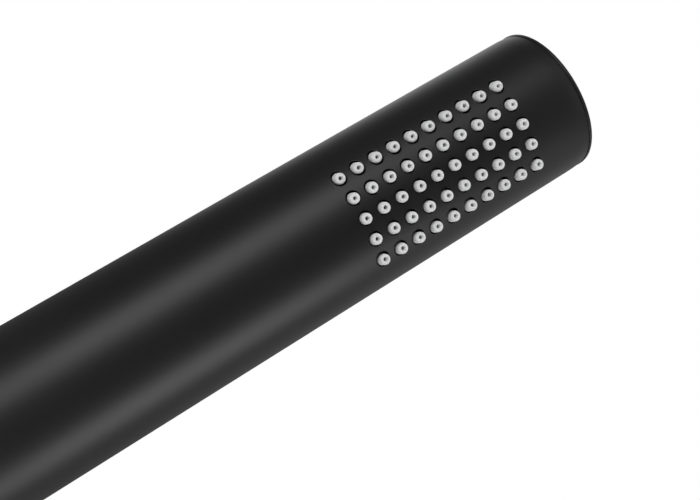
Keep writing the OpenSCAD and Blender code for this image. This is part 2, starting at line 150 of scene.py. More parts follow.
class ShowerNozzleSizes(bpy.types.PropertyGroup):
    """Sizes of the nozzle mat and its field."""

    rows: IntProperty(name="Rows", description="Rows of nozzles across the tube", default=5, min=2)
    columns: IntProperty(name="Columns", description="Nozzles in each row", default=10, min=1)
    pitch: size("Pitch", "Distance between nozzles along the tube", 3.75)
    row_pitch: size("Row pitch", "Distance between rows, straight across the tube", 3.9)
    first_z: size("First nozzle", "Height of the lowest nozzles", 167.95)
    outer: size("Mat face", "Radius of the mat's outer face", 12.48)
    inner: size("Mat back", "Radius of the mat's inner face", 11.18)
    edge_angle: FloatProperty(
        name="Edge angle", description="Half of the angle that the mat covers", default=math.radians(56.1),
        min=0, subtype="ANGLE"
    )
    reach: size("Wall reach", "How far the patches of wall reach past the outer nozzles", 1.75)
    back_reach: size("Back reach", "The same on the mat's back", 1.2)
    head: size("Head", "Radius of a nozzle's head below its rounded tip", 0.97)
    base: size("Head base", "Radius of a nozzle's head at its lower end", 1.01)
    neck: size("Neck", "Radius of a nozzle's neck", 0.8)
    rise: size("Rise", "How far the middle row's tips stand in front of the tube", 0.98)
    side_rise: size("Side rise", "How much further the outer rows' tips stand", 0.2)
    tip_round: size("Tip rounding", "Rounding of a nozzle's tip", 0.46)
    sunk: size("Sunk part", "How far a middle nozzle's head reaches into its hole", 0.6)
    slip: size("Slip", "How far the mat sits off the middle of the holes", 0.1)
    foot: size("Foot", "Width of the flare at a nozzle's foot", 0.2)
    outlet: size("Outlet", "Radius of the jet outlet", 0.39)
    feed: size("Feed", "Radius of the water feed behind a nozzle", 0.75)
    lean: size("Lean", "How far a nozzle's soft tip may lean", 0.03)


class ShowerCapSizes(bpy.types.PropertyGroup):
    """Sizes of the end cap."""

    lip_round: size("Lip rounding", "Rounding of the lip's upper edge", 0.5)
    lip_z: size("Lip underside", "Height of the lip's underside", 214.3)
    plug: size("Plug", "Radius of the plug in the tube's mouth", 12.94)
    groove_z: size("Seal groove", "Height of the middle of the seal's groove", 212.95)
    groove_width: size("Groove width", "Width of the seal's groove", 1.3)
    groove_floor: size("Groove floor", "Radius of the groove's floor", 11.94)
    thread: size("Thread", "Radius of the cap's thread", 12.69)
    thread_depth: size("Thread depth", "Depth of the cap's thread", 0.4)
    thread_pitch: size("Thread pitch", "Pitch of the cap's thread", 1)
    shoulder_z: size("Shoulder", "Height of the step above the thread", 211.75)
    hollow: size("Hollow", "Radius of the hollow below the top plate", 10.45)
    hollow_z: size("Hollow roof", "Height of the hollow's roof", 211.8)
    hollow_round: size("Hollow rounding", "Rounding of the hollow's corner", 0.4)
    key: size("Key socket", "Half of the key socket's size across its flats", 3)
    key_z: size("Key socket floor", "Height of the key socket's floor", 212.8)


class ShowerInletSizes(bpy.types.PropertyGroup):
    """Sizes of the inlet fitting and its strainer."""

    crest: size("Thread crest", "Radius of the pipe thread's crest", 10.4775)
    root: size("Thread root", "Radius of the pipe thread's root", 9.3155)
    thread_pitch: size("Thread pitch", "Pitch of the pipe thread", 1.814)
    lead: size("Lead", "Length of the chamfer that starts the thread", 1)
    runout_z: size("Thread end", "Height at which the thread runs out", 10.9)
    collar_z: size("Collar", "Height of the collar's underside", 12)
    collar_round: size("Collar rounding", "Rounding of the collar's lower edge", 1.2)
    collar_top: size("Collar top", "Height of the collar's upper face", 15)
    spigot: size("Spigot", "Radius of the spigot in the tube", 12.4)
    seal_z: size("Seal groove", "Height of the middle of the seal's groove", 16.6)
    seal_floor: size("Seal groove floor", "Radius of the groove's floor", 11.44)
    groove_width: size("Groove width", "Width of the seal's groove", 1.3)
    sleeve: size("Sleeve", "Radius of the sleeve round the water tube", 9.25)
    sleeve_z: size("Sleeve end", "Height of the sleeve's end", 39.5)
    end_round: size("Sleeve rounding", "Rounding of the sleeve's end", 0.3)
    socket: size("Socket", "Radius of the water tube's socket", 7.05)
    socket_z: size("Socket floor", "Height of the socket's floor", 28.5)
    throat: size("Throat", "Radius of the throat", 5.25)
    throat_z: size("Throat floor", "Height of the throat's lower end", 24.5)
    cartridge: size("Cartridge bore", "Radius of the bore for the regulator and the check valve", 7.5)
    cartridge_z: size("Strainer seat", "Height of the step that the strainer sits against", 3)
    mouth: size("Mouth", "Radius of the mouth round the strainer", 8)
    wire: size("Strainer wire", "Radius of the strainer's woven wires", 0.075)
    wire_pitch: size("Wire pitch", "Distance between the strainer's wires", 0.62)


class ShowerSpringSizes(bpy.types.PropertyGroup):
    """Sizes of the check valve's spring."""

    coil: size("Coil", "Radius of the coil's centre line", 2.4)
    wire: size("Wire", "Radius of the wire", 0.225)
    low: size("Lower end", "Height of the lowest turn's centre", 13.045)
    high: size("Upper end", "Height of the highest turn's centre", 20.755)
    turns: level("Turns", "Turns of the coil", 5.5)
    flat: level("Flat turns", "Closed part turn at each end", 0.75)


class ShowerColours(bpy.types.PropertyGroup):
    """Colours of the finishes."""

    coat: shade("Coat", "Satin black coat of the tube, cap and inlet", (0.0037, 0.0037, 0.0038))
    silicone: shade("Silicone", "Light grey silicone of the nozzles' heads", (0.735, 0.738, 0.74))
    # Painted shade: this near-black colour goes on the mat's sheet and the nozzles' necks so that the bottoms
    # of the nozzle holes look shaded
    mat: shade("Mat", "Dark silicone of the mat behind the tube's wall", (0.02, 0.02, 0.021))
    carrier: shade("Carrier", "Grey plastic of the spray carrier", (0.42, 0.43, 0.44))
    water: shade("Water tube", "Pale plastic of the water tube", (0.66, 0.67, 0.66))
    rubber: shade("Rubber", "Black rubber of the seals", (0.018, 0.018, 0.019))
    cream: shade("Cream plastic", "Off-white plastic of the strainer and the valve", (0.72, 0.71, 0.66))
    green: shade("Green plastic", "Green plastic of the flow regulator", (0.05, 0.24, 0.11))
    blue: shade("Blue plastic", "Blue plastic of the poppet", (0.06, 0.16, 0.34))
    steel: shade("Steel", "Stainless steel of the wires", (0.56, 0.56, 0.55))
    floor: shade("Floor", "Pale studio floor", (0.8, 0.8, 0.8))


class ShowerStudio(bpy.types.PropertyGroup):
    """Strength of the studio's light, and its floor."""

    room: level("Room", "Strength of the light from the room all round", 0.17)
    side: level("Side", "Extra light from high on the room's right", 0.235)
    left_back: level("Left back", "Extra light from behind on the left", 1.2)
    right_back: level("Right back", "Extra light from behind on the right", 0.14)
    below: level("Below", "Extra light that shines up into the inlet", 0.9)
    left_strip: level("Left strip", "Radiance of the left strip lamp", 3.8)
    right_strip: level("Right strip", "Radiance of the right strip lamp", 3.75)
    top_lamp: level("Top lamp", "Radiance of the overhead lamp", 2.4)
    floor_radius: size("Floor radius", "Radius of the floor", 520)
    floor_opening: size("Floor opening", "How far the floor stays clear of the inlet's mouth", 0.6)
    floor_drop: size("Floor drop", "How far the floor lies below the inlet's end", 0.2)
    fade_start: size("Fade start", "Distance at which the floor starts to fade into white", 160)


# ---- meshes


def placed(name, data, place=(0, 0, 0), rotation=None):
    """A new object in the scene."""
    thing = bpy.data.objects.new(name, data)
    bpy.context.scene.collection.objects.link(thing)
    thing.location = place
    if rotation:
        thing.rotation_mode = "QUATERNION"
        thing.rotation_quaternion = rotation
    return thing


def turn(step):
    """Angle of an even column of points about the axis."""
    return FACING + 2 * math.pi * step / ROUND_PARTS


def row_x(row):
    """Place of a row of nozzles across the tube."""
    nozzles = bpy.context.scene.shower_nozzles
    return (row - (nozzles.rows - 1) / 2) * nozzles.row_pitch


def cell_edges(row, reach):
    """Both sides of the patch of wall round a row's nozzles."""
    nozzles = bpy.context.scene.shower_nozzles
    half = nozzles.row_pitch / 2
    low = reach if row == 0 else half
    high = reach if row == nozzles.rows - 1 else half
    return row_x(row) - low, row_x(row) + high


def field_angles(wall, reach):
    """Angles of the columns of points that cross the nozzle field on a round wall."""
    rows = bpy.context.scene.shower_nozzles.rows
    places = [mix(*cell_edges(row, reach), i / CELL_PARTS) for row in range(rows) for i in range(CELL_PARTS)]
    places.append(cell_edges(rows - 1, reach)[1])
    return [FACING + math.asin(x / wall) for x in places]


def field_parts():
    """Steps across the nozzle field."""
    return bpy.context.scene.shower_nozzles.rows * CELL_PARTS


def around(wall):
    """Angles of all columns of points on a wall of the tube; those of the nozzle field come first."""
    field = field_angles(wall, bpy.context.scene.shower_nozzles.reach)
    rest = spaced(field[-1], field[0] + 2 * math.pi, ROUND_PARTS - field_parts())
    return field + rest[1:-1]


def beside_field(angles):
    """Those of the angles round a wall that lie beside the nozzle field, with its two edges."""
    return angles[field_parts():] + angles[:1]


def spot(radius, angle, z):
    """A point at a radius and an angle about the tube's axis."""
    return (radius * math.cos(angle), radius * math.sin(angle), z)


def mix(a, b, share):
    """The value a given share of the way from a to b."""
    return a + (b - a) * share


def spaced(a, b, parts):
    """Even steps from a to b."""
    return [mix(a, b, i / parts) for i in range(parts + 1)]


def quarter(parts):
    """Angles in even steps through a quarter turn."""
    return spaced(0, math.pi / 2, parts)


class Skin:
    """Faces gathered patch by patch, then welded into one closed mesh."""

    def __init__(self):
        self.points = []
        self.faces = []
        self.finishes = []

    def face(self, corners):
        """Adds one face from its corner points."""
        start = len(self.points)
        self.points.extend(corners)
        self.faces.append(tuple(range(start, start + len(corners))))
        self.finishes.append(0)

    def grid(self, rows, closed=False, finish=0):
        """Adds quads between rows of points; closed joins each row's end to its start."""
        start = len(self.points)
        width = len(rows[0])
        for row in rows:
            self.points.extend(row)
        for i in range(len(rows) - 1):
            for j in range(width if closed else width - 1):
                a = start + i * width + j
                b = start + i * width + (j + 1) % width
                self.faces.append((a, b, b + width, a + width))
                self.finishes.append(finish)

    def fan(self, rim, centre):
        """Closes a rim of points with triangles to its centre."""
        for i, point in enumerate(rim):
            self.face([point, rim[(i + 1) % len(rim)], centre])

    def piece(self, name, finishes, body, slot, node, exact_normal=None):
        """Welds the faces into an object that rides on a body and stands for a CAD node."""
        mesh = bpy.data.meshes.new(name)
        mesh.from_pydata(self.points, [], self.faces)
        for index, polygon in enumerate(mesh.polygons):
            polygon.material_index = self.finishes[index]
            polygon.use_smooth = True
        work = bmesh.new()
        work.from_mesh(mesh)
        bmesh.ops.remove_doubles(work, verts=work.verts, dist=WELD)
        bmesh.ops.dissolve_degenerate(work, edges=work.edges, dist=WELD)
        bmesh.ops.recalc_face_normals(work, faces=work.faces)
        loose = [edge for edge in work.edges if len(edge.link_faces) != 2]
        if loose:
            x, y, z = loose[0].verts[0].co / MM
            raise RuntimeError(f"{name} isn't closed: {len(loose)} edges, one at {x:.3f} {y:.3f} {z:.3f} mm")
        for edge in work.edges:
            edge.smooth = edge.calc_face_angle(0) < CREASE
        work.to_mesh(mesh)
        work.free()
        if exact_normal:
            set_normals(mesh, exact_normal)
        for finish in finishes:
            mesh.materials.append(finish)
        piece = placed(name, mesh)
        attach(piece, body)
        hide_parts(node)
        return piece


def set_normals(mesh, exact_normal):
    """Gives the corners on a round face the exact normal of that face, so that it shades without dents."""
    same_way = 0.8
    normals = [(0, 0, 0)] * len(mesh.loops)
    for polygon in mesh.polygons:
        for loop in polygon.loop_indices:
            exact = exact_normal(mesh.vertices[mesh.loops[loop].vertex_index].co)
            if exact is not None and exact.dot(polygon.normal) > same_way:
                normals[loop] = exact
    mesh.normals_split_custom_set(normals)


def softened(outline):
    """An outline of (radius, height) points with its inner corners rounded.

    A third number is a corner's own rounding, and 0 keeps it sharp.
    """
    side_share, corner_parts = 0.45, 3
    out = [outline[0][:2]]
    for before, corner, after in zip(outline, outline[1:], outline[2:]):
        here = Vector(corner[:2])
        back, ahead = Vector(before[:2]) - here, Vector(after[:2]) - here
        wanted = corner[2] if len(corner) > 2 else SOFT
        reach = min(wanted, side_share * back.length, side_share * ahead.length)
        start, end = here + back.normalized() * reach, here + ahead.normalized() * reach
        if wanted == 0:
            out.append(tuple(here))
            continue
        for t in spaced(0, 1, corner_parts):
            out.append(tuple(start * (1 - t) ** 2 + here * 2 * t * (1 - t) + end * t**2))
    out.append(outline[-1][:2])
    return out


def seal_groove(radius, floor, z, width):
    """Outline of a seal's groove about a height, drawn upwards, or downwards for a width below 0."""
    start, end = z - width / 2, z + width / 2
    return [(radius, start), (floor, start), (floor, end), (radius, end)]


def level_ring(radius, z, angles=None):
    """A level ring of points; radius is a number or a function of the angle."""
    angles = angles or [turn(j) for j in range(ROUND_PARTS)]
    return [spot(radius(a) if callable(radius) else radius, a, z) for a in angles]


def turned(skin, outline, angles=None):
    """Turns an outline of (radius, height) points about the axis; an end on the axis is closed."""
    rows = [level_ring(radius, z, angles) for radius, z in outline if callable(radius) or radius > 0]
    skin.grid(rows, closed=True)
    for end, row in ((outline[0], rows[0]), (outline[-1], rows[-1])):
        if not callable(end[0]) and end[0] <= 0:
            skin.fan(row, (0, 0, end[1]))


def threaded(skin, low, high, pitch, start, shape, slopes, plain=0):
    """A right-hand thread between two heights, which starts and ends at two slopes.

    shape gives (share of a pitch, radius) up one turn, and plain is the bare length at the upper end.
    """
    stops = [*shape, (1, shape[0][1])]
    root = min(radius for _, radius in shape)
    nudge = 1e-9

    def radius_at(z, share):
        """The thread's radius at a height and a share of its pitch."""
        limits = root + (z - low) * slopes[0], root + max(0, high - plain - z) * slopes[1]
        for (s0, r0), (s1, r1) in zip(stops, stops[1:]):
            if share <= s1:
                return min(mix(r0, r1, (share - s0) / (s1 - s0)), *limits)

    rows = []
    first = math.floor((low - start) / pitch) - 1
    last = math.ceil((high - start) / pitch)
    for lap in range(first, last + 1):
        for share, _ in shape:
            row = []
            for j in range(ROUND_PARTS + 1):
                z = min(max(start + pitch * (lap + share + j / ROUND_PARTS), low), high)
                phase = ((z - start) / pitch - j / ROUND_PARTS + nudge) % 1
                row.append(spot(radius_at(z, phase), turn(j), z))
            rows.append(row)
    skin.grid(rows)


def on_wall(x, z, wall, rise=0):
    """A point on the front of a round wall, or that far in front of it."""
    return (x, -math.sqrt(wall**2 - x**2) - rise, z)


def rim_angles():
    """Directions of the points round a nozzle, from the lower right corner of its patch of wall."""
    return [math.radians(-45) + 2 * math.pi * i / RIM_PARTS for i in range(RIM_PARTS)]


def hole_ring(row, z, across, height, wall=None):
    """A ring of points round a nozzle, at a distance in front of the tube's axis or of a round wall."""
    ring = []
    for a in rim_angles():
        x, up = row_x(row) + across * math.cos(a), z + across * math.sin(a)
        ring.append(on_wall(x, up, wall, height) if wall else (x, -height, up))
    return ring


def nozzle_places():
    """Row and height of each nozzle."""
    nozzles = bpy.context.scene.shower_nozzles
    for row in range(nozzles.rows):
        for column in range(nozzles.columns):
            yield row, nozzles.first_z + column * nozzles.pitch


def cell_patch(skin, wall, row, z, hole, reach, finish=0):
    """The square of wall round one nozzle's hole."""
    half = bpy.context.scene.shower_nozzles.pitch / 2
    left, right = cell_edges(row, reach)
    corners = ((right, z - half), (right, z + half), (left, z + half), (left, z - half))
    square = []
    for (x0, z0), (x1, z1) in zip(corners, corners[1:] + corners[:1]):
        square += [(mix(x0, x1, i / CELL_PARTS), mix(z0, z1, i / CELL_PARTS)) for i in range(CELL_PARTS)]
    circle = [(row_x(row) + hole * math.cos(a), z + hole * math.sin(a)) for a in rim_angles()]
    shares = (0, 0.45, 0.8, 1)
    skin.grid([
        [on_wall(mix(s[0], c[0], share), mix(s[1], c[1], share), wall) for s, c in zip(square, circle)]
        for share in shares
    ], closed=True, finish=finish)


def field_heights():
    """Heights of the rows of points in the nozzle field."""
    nozzles = bpy.context.scene.shower_nozzles
    low = nozzles.first_z - nozzles.pitch / 2
    return spaced(low, low + nozzles.pitch * nozzles.columns, nozzles.columns * CELL_PARTS)


def sweep(skin, path, radius, sides):
    """A round wire along a path that never runs straight up, with rounded ends."""
    end_width, end_reach, end_tip = 0.7, 0.6, 0.8
    rows = []
    count = len(path)
    for i, point in enumerate(path):
        here = Vector(point)
        ahead = Vector(path[min(i + 1, count - 1)]) - Vector(path[max(i - 1, 0)])
        ahead.normalize()
        side = ahead.cross(Vector((0, 0, 1))).normalized()
        up = side.cross(ahead)
        rows.append([
            tuple(here + (side * math.cos(a) + up * math.sin(a)) * radius)
            for a in spaced(0, 2 * math.pi, sides)[:-1]
        ])
    for end, other in ((0, 1), (count - 1, count - 2)):
        out = (Vector(path[end]) - Vector(path[other])).normalized()
        middle = Vector(path[end])
        cap = [tuple(middle + (Vector(p) - middle) * end_width + out * radius * end_reach) for p in rows[end]]
        skin.grid([rows[end], cap], closed=True)
        skin.fan(cap, tuple(middle + out * radius * end_tip))
    skin.grid(rows, closed=True)


def easing(z):
    """How far into its easing the tube is at a height, from 0 to 1 at its ends."""
    from_end = min(z - TUBE_LOW.z, TUBE_HIGH.z - z)
    return max(0, 1 - from_end / bpy.context.scene.shower_tube.ease_length)


def tube_radius(z):
    """Outside radius of the tube at a height, with its eased ends."""
    return TUBE_HIGH.x - bpy.context.scene.shower_tube.ease_depth * easing(z) ** 2


def tube_normal(point):
    """Exact normal of the tube's outer face, or None for a point that isn't on it."""
    on_face = 2e-6
    radius = math.hypot(point.x, point.y)
    if abs(radius - tube_radius(point.z)) > on_face:
        return None
    tube = bpy.context.scene.shower_tube
    end = 1 if point.z > (TUBE_LOW.z + TUBE_HIGH.z) / 2 else -1
    slope = 2 * tube.ease_depth * easing(point.z) / tube.ease_length * end
    return Vector((point.x / radius, point.y / radius, slope)).normalized()


# ---- finishes


class Value:
    """An output in a node tree. Arithmetic on it adds Math nodes; numbers alone are worked out in Python."""

    def __init__(self, tree, output):
        self.tree = tree
        self.output = output

    def math(self, operation, *values):
        """A Math node over this tree's values and numbers."""
        return self.tree.add("ShaderNodeMath", {"operation": operation}, dict(enumerate(values)))

    def __add__(self, other):
        return self.math("ADD", self, other)

    def __sub__(self, other):
        return self.math("SUBTRACT", self, other)

    def __rsub__(self, other):
        return self.math("SUBTRACT", other, self)

    def __mul__(self, other):
        return self.math("MULTIPLY", self, other)

    __radd__ = __add__
    __rmul__ = __mul__


class Finish:
    """A node tree of a material or world, with one way to add any node."""

    def __init__(self, owner):
        owner.use_nodes = True
        self.owner = owner
        self.tree = owner.node_tree
        self.tree.nodes.clear()

    def add(self, kind, settings=None, inputs=None, output=0):
        """Adds a node with its settings, then the values or links of its sockets, by name or number."""
        node = self.tree.nodes.new(kind)
        for name, value in (settings or {}).items():
            setattr(node, name, value)
        for key, value in (inputs or {}).items():
            socket = node.inputs[key]
            if isinstance(value, Value):
                self.tree.links.new(value.output, socket)
            elif hasattr(value, "__len__") and socket.type == "RGBA" and len(value) == 3:
                socket.default_value = (*value, 1)
            else:
                socket.default_value = value
        return Value(self, node.outputs[output]) if len(node.outputs) else None

    def place(self):
        """Position on the object, in metres."""
        return self.add("ShaderNodeTexCoord", output="Object")

    def noise(self, across, detail=2.0, roughness=0.5, stretch=None):
        """Soft noise from 0 to 1 whose patches are about that many metres across."""
        where = self.place()
        if stretch:
            where = self.add("ShaderNodeVectorMath", {"operation": "MULTIPLY"}, {0: where, 1: stretch})
        return self.add(
            "ShaderNodeTexNoise", None,
            {"Vector": where, "Scale": 1 / across, "Detail": detail, "Roughness": roughness},
        )

    def blend(self, share, a, b):
        """Mixes two colours."""
        return self.add("ShaderNodeMix", {"data_type": "RGBA"}, {0: share, 6: a, 7: b}, output=2)

    def step(self, value, low, high):
        """0 below low and 1 above high, with a smooth change between."""
        return self.add(
            "ShaderNodeMapRange", {"interpolation_type": "SMOOTHSTEP"},
            {"Value": value, "From Min": low, "From Max": high},
        )

    def bump(self, height, depth, strength):
        """A normal from heights of 0 to 1 that stand for a depth in metres."""
        return self.add("ShaderNodeBump", None, {"Strength": strength, "Distance": depth, "Height": height})

    def surface(self, **inputs):
        """The Principled shader and the material's output; names use _ for a space."""
        named = {key.replace("_", " "): value for key, value in inputs.items()}
        shader = self.add("ShaderNodeBsdfPrincipled", None, named)
        self.add("ShaderNodeOutputMaterial", None, {"Surface": shader})
        return self.owner


def darker(colour, share):
    """A colour scaled by a share."""
    return tuple(c * share for c in colour)


def material(name):
    """An empty material with its node tree."""
    return Finish(bpy.data.materials.new(name))


def satin_coat(name, colour, roughness=0.41, gloss_level=0.4):
    """Satin black baked coat: fine orange peel, a powdery grain and faint changes of gloss."""
    work = material(name)
    cloud = work.noise(14 * MM, 3)
    peel = work.noise(0.9 * MM, 2)
    powder = work.noise(0.16 * MM, 2, 0.6)
    tone = work.blend(cloud, darker(colour, 0.85), darker(colour, 1.15))
    gloss = roughness - 0.03 + 0.04 * cloud + 0.03 * powder
    height = 0.7 * peel + 0.3 * powder
    return work.surface(
        Base_Color=tone, Roughness=gloss, IOR=1.5, Specular_IOR_Level=gloss_level,
        Normal=work.bump(height, 0.004 * MM, 0.5),
    )


def soft_silicone(name, colour):
    """Light grey silicone: matt, a little milky, with a fine moulded skin."""
    work = material(name)
    cloud = work.noise(1.6 * MM, 2)
    skin = work.noise(0.12 * MM, 3, 0.6)
    tone = work.blend(cloud, darker(colour, 0.97), colour)
    return work.surface(
        Base_Color=tone, Roughness=0.52 + 0.1 * skin, IOR=1.41, Specular_IOR_Level=0.4,
        Normal=work.bump(skin, 0.006 * MM, 0.5),
    )


def moulded(name, colour, roughness=0.38, grain=0.25):
    """Injection-moulded plastic: flow marks, a fine eroded texture and small changes of gloss."""
    work = material(name)
    flow = work.noise(7 * MM, 3, 0.5, stretch=(1, 1, 0.35))
    texture = work.noise(grain * MM, 3, 0.6)
    tone = work.blend(flow, darker(colour, 0.93), colour)
    return work.surface(
        Base_Color=tone, Roughness=roughness + 0.08 * texture + 0.05 * flow, IOR=1.49,
        Normal=work.bump(0.4 * flow + 0.6 * texture, 0.008 * MM, 0.5),
    )


def seal_rubber(name, colour):
    """Black moulded rubber with a dusty bloom and a fine matt texture."""
    work = material(name)
    bloom = work.step(work.noise(2.5 * MM, 4, 0.6), 0.45, 0.75)
    texture = work.noise(0.15 * MM, 3, 0.6)
    tone = work.blend(bloom, colour, tuple(c * 2.2 + 0.004 for c in colour))
    return work.surface(
        Base_Color=tone, Roughness=0.55 + 0.2 * bloom + 0.08 * texture, IOR=1.5,
        Normal=work.bump(texture, 0.008 * MM, 0.6),
    )


def drawn_steel(name, colour):
    """Drawn stainless wire: bright, with fine lines and dull patches."""
    work = material(name)
    lines = work.noise(0.08 * MM, 2, 0.5)
    patch = work.noise(1.8 * MM, 3, 0.6)
    tone = work.blend(patch, darker(colour, 0.8), colour)
    return work.surface(
        Base_Color=tone, Metallic=1, Roughness=0.2 + 0.14 * patch + 0.08 * lines,
        Normal=work.bump(lines, 0.003 * MM, 0.5),
    )


def fading_paper(name, colour, studio):
    """Pale paper that fades to white where the camera sees it far out, and is clear from below."""
    work = material(name)
    away = work.add("ShaderNodeVectorMath", {"operation": "LENGTH"}, {0: work.place()}, output="Value")
    fade_end = studio.floor_radius * 0.92
    fade = work.step(away, studio.fade_start, fade_end)
    camera = work.add("ShaderNodeLightPath", output="Is Camera Ray")
    tone = work.blend(work.noise(50 * MM, 3), darker(colour, 0.985), colour)
    matt = {"Base Color": tone, "Roughness": 1.0, "Specular IOR Level": 0.0}
    paper = work.add("ShaderNodeBsdfPrincipled", None, matt)
    white = work.add("ShaderNodeEmission", None, {"Color": (1, 1, 1), "Strength": 1.0})
    front = work.add("ShaderNodeMixShader", None, {0: fade * camera, 1: paper, 2: white})
    clear = work.add("ShaderNodeBsdfTransparent")
    below = work.add("ShaderNodeNewGeometry", output="Backfacing")
    both = work.add("ShaderNodeMixShader", None, {0: below, 1: front, 2: clear})
    work.add("ShaderNodeOutputMaterial", None, {"Surface": both})
    return work.owner


# ---- operators


class SHOWER_OT_camera(bpy.types.Operator):
    """Place the camera that looks up along the tube at its nozzles"""

    bl_idname = "shower.camera"
    bl_label = "Camera"
    bl_options = {"REGISTER", "UNDO"}

    def execute(self, context):
        lens = bpy.data.cameras.new("camera")
        lens.sensor_width = 36
        lens.lens = CAMERA_LENS
        lens.clip_start = 0.005
        lens.clip_end = 20
        context.scene.camera = placed("camera", lens, CAMERA_PLACE, Quaternion(CAMERA_TURN))
        return {"FINISHED"}


class SHOWER_OT_tube(bpy.types.Operator):
    """Build the handle tube with its drilled nozzle holes"""

    bl_idname = "shower.tube"
    bl_label = "Handle tube"
    bl_options = {"REGISTER", "UNDO"}

    def execute(self, context):
        tube = context.scene.shower_tube
        skin = Skin()
        self.outside(skin, tube)
        self.inside(skin, tube)
        self.holes(skin, tube)
        colour = context.scene.shower_colours.coat
        # Painted shade: the holes' walls get the coat at half its colour and with a duller gloss, so they
        # look shaded inside the holes
        painted_hole_shade = satin_coat("hole_thin_coat", darker(colour, 0.5), roughness=0.7, gloss_level=0.12)
        coats = [satin_coat("tube_satin_black", colour), painted_hole_shade]
        skin.piece("handle_tube_coated", coats, "shell", "tube_black", "handle_tube", tube_normal)
        return {"FINISHED"}

    def outside(self, skin, tube):
        """The outer face, with the nozzle cells left open, and both ends."""
        long_parts, short_parts = 40, 8
        heights = field_heights()
        angles = around(TUBE_HIGH.x)
        ease_low, ease_high = TUBE_LOW.z + tube.ease_length, TUBE_HIGH.z - tube.ease_length
        lower = spaced(TUBE_LOW.z, ease_low, short_parts) + spaced(ease_low, heights[0], long_parts)[1:]
        upper = spaced(heights[-1], ease_high, short_parts) + spaced(ease_high, TUBE_HIGH.z, short_parts)[1:]
        for span in (lower, upper):
            skin.grid([level_ring(tube_radius(z), z, angles) for z in span], closed=True)
        skin.grid([[spot(TUBE_HIGH.x, a, z) for a in beside_field(angles)] for z in heights])
        inner = around(tube.bore)
        for z, wall, step in ((TUBE_HIGH.z, tube.mouth, -BREAK), (TUBE_LOW.z, tube.bore, BREAK)):
            skin.grid([
                level_ring(TUBE_HIGH.x - tube.ease_depth, z, angles),
                level_ring(wall + BREAK, z, inner),
                level_ring(wall, z + step, inner),
            ], closed=True)

    def inside(self, skin, tube):
        """The stepped bore, with the nozzle cells and the adapter's key slot left open."""
        heights = field_heights()
        angles = around(tube.bore)
        top = tube.upper_shoulder
        slot_low = top - tube.slot_height
        for outline in (
            [(tube.mouth, TUBE_HIGH.z - BREAK), (tube.mouth, tube.mouth_z), (tube.thread_bore, tube.mouth_z),
             (tube.thread_bore, tube.thread_z), (tube.bore, tube.thread_z), (tube.bore, heights[-1])],
            [(tube.bore, heights[0]), (tube.bore, top)],
            [(tube.waist, slot_low), (tube.waist, tube.lower_shoulder), (tube.bore, tube.lower_shoulder),
             (tube.bore, TUBE_LOW.z + BREAK)],
        ):
            turned(skin, outline, angles)
        skin.grid([[spot(tube.bore, a, z) for a in beside_field(angles)] for z in heights])
        back = (field_parts() + ROUND_PARTS) // 2
        left, right = back - CELL_PARTS // 2, back + CELL_PARTS // 2
        slot, others = angles[left:right + 1], angles[right:] + angles[:left + 1]
        floor = tube.waist + tube.slot_depth

        def band(columns, *places):
            """A strip of wall through places of (radius, height)."""
            skin.grid([[spot(r, a, z) for a in columns] for r, z in places])

        band(others, (tube.waist, slot_low), (tube.waist, top), (floor, top))
        band(slot, (tube.waist, slot_low), (floor, slot_low), (floor, top))
        band(angles + angles[:1], (floor, top), (tube.bore, top))
        for a in (slot[0], slot[-1]):
            skin.face([spot(r, a, z) for r, z in (
                (tube.waist, slot_low), (floor, slot_low), (floor, top), (tube.waist, top)
            )])

    def holes(self, skin, tube):
        """The drilled holes, with their edges rounded by the coat and their walls in a darker coat as painted
        shade.
        """
        edge, edge_parts, reach = tube.hole_edge, 4, bpy.context.scene.shower_nozzles.reach
        for row, z in nozzle_places():
            cell_patch(skin, TUBE_HIGH.x, row, z, tube.hole + edge, reach)
            cell_patch(skin, tube.bore, row, z, tube.hole, reach)
            wall = []
            for a in quarter(edge_parts):
                across = tube.hole + edge * (1 - math.sin(a))
                wall.append(hole_ring(row, z, across, -edge * (1 - math.cos(a)), TUBE_HIGH.x))
            skin.grid(wall, closed=True)
            # Painted shade: the hole's wall takes the darker coat (finish 1)
            skin.grid([wall[-1], hole_ring(row, z, tube.hole, 0, tube.bore)], closed=True, finish=1)


